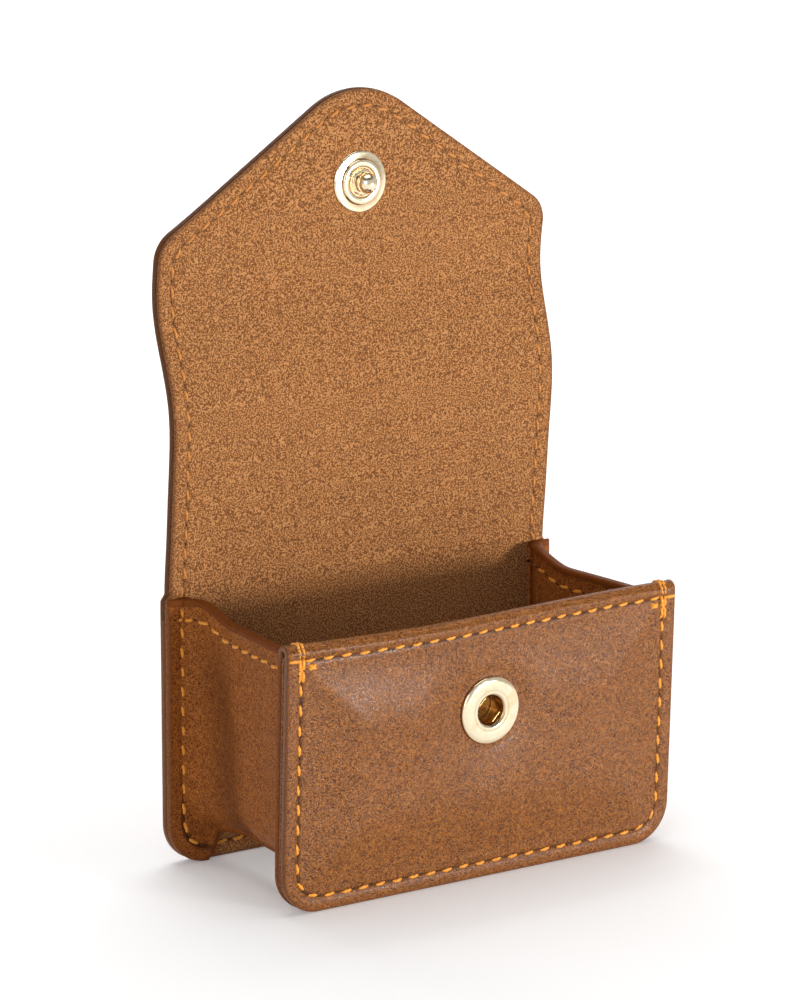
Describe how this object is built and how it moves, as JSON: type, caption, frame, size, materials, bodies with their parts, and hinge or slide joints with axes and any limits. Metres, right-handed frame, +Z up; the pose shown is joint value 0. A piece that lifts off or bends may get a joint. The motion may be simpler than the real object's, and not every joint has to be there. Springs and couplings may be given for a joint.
{
  "type": "earphone carrying case",
  "caption": "Small leather pouch with padded front, gusseted sides, open base and an envelope flap that folds over the top and snaps shut.",
  "frame": {"origin": "middle of the case's overall width and depth (open flap included), on the surface it stands on", "axes": "+X to the right as seen from the snap side, +Y towards the back panel, +Z up"},
  "size_m": [0.0676, 0.0363, 0.1102],
  "materials": {
    "leather": "satin crackled brown leather with worn lighter patches",
    "gusset_leather": "satin brown leather, softer and thinner",
    "suede_lining": "matte tan suede",
    "foam": "soft foam, hidden",
    "board": "stiff board, hidden",
    "gold_brass": "polished light gold plating",
    "thread": "golden amber waxed thread"
  },
  "bodies": {
    "pouch": {"front_leather": "leather", "front_padding": "foam", "front_lining": "suede_lining", "back_leather": "leather", "back_board": "board", "back_lining": "suede_lining", "left_gusset": "gusset_leather", "right_gusset": "gusset_leather", "snap_socket_ring": "gold_brass", "snap_socket_post": "gold_brass", "snap_socket_spring": "gold_brass", "front_seam_thread": "thread", "front_hem_thread": "thread", "back_seam_thread": "thread", "left_gusset_thread": "thread", "right_gusset_thread": "thread"},
    "flap_rear": {"flap_rear_lining": "suede_lining", "flap_rear_leather": "leather", "flap_rear_thread": "thread"},
    "flap_top": {"flap_top_lining": "suede_lining", "flap_top_leather": "leather", "flap_top_thread": "thread"},
    "flap_fore": {"flap_fore_lining": "suede_lining", "flap_fore_leather": "leather", "flap_fore_thread": "thread"},
    "flap_front": {"flap_front_lining": "suede_lining", "flap_front_leather": "leather", "flap_front_thread": "thread", "snap_stud": "gold_brass", "snap_stud_cap": "gold_brass"}
  },
  "joints": [
    {"name": "flap_fold_1", "type": "hinge", "parent": "pouch", "child": "flap_rear", "pos_m": [0, 0.015, 0.0397], "axis": [1, 0, 0], "range_deg": [0, 41.7]},
    {"name": "flap_fold_2", "type": "hinge", "parent": "flap_rear", "child": "flap_top", "pos_m": [0, 0.01355, 0.0562], "axis": [1, 0, 0], "range_deg": [0, 45.61]},
    {"name": "flap_fold_3", "type": "hinge", "parent": "flap_top", "child": "flap_fore", "pos_m": [0, 0.01295, 0.0658], "axis": [1, 0, 0], "range_deg": [0, 55.57]},
    {"name": "flap_fold_4", "type": "hinge", "parent": "flap_fore", "child": "flap_front", "pos_m": [0, 0.0166, 0.082], "axis": [1, 0, 0], "range_deg": [0, 34.11]}
  ],
  "couplings": [
    {"joint": "flap_fold_2", "follows": "flap_fold_1", "ratio": 1.0926},
    {"joint": "flap_fold_3", "follows": "flap_fold_1", "ratio": 1.3315},
    {"joint": "flap_fold_4", "follows": "flap_fold_1", "ratio": 0.8167}
  ]
}
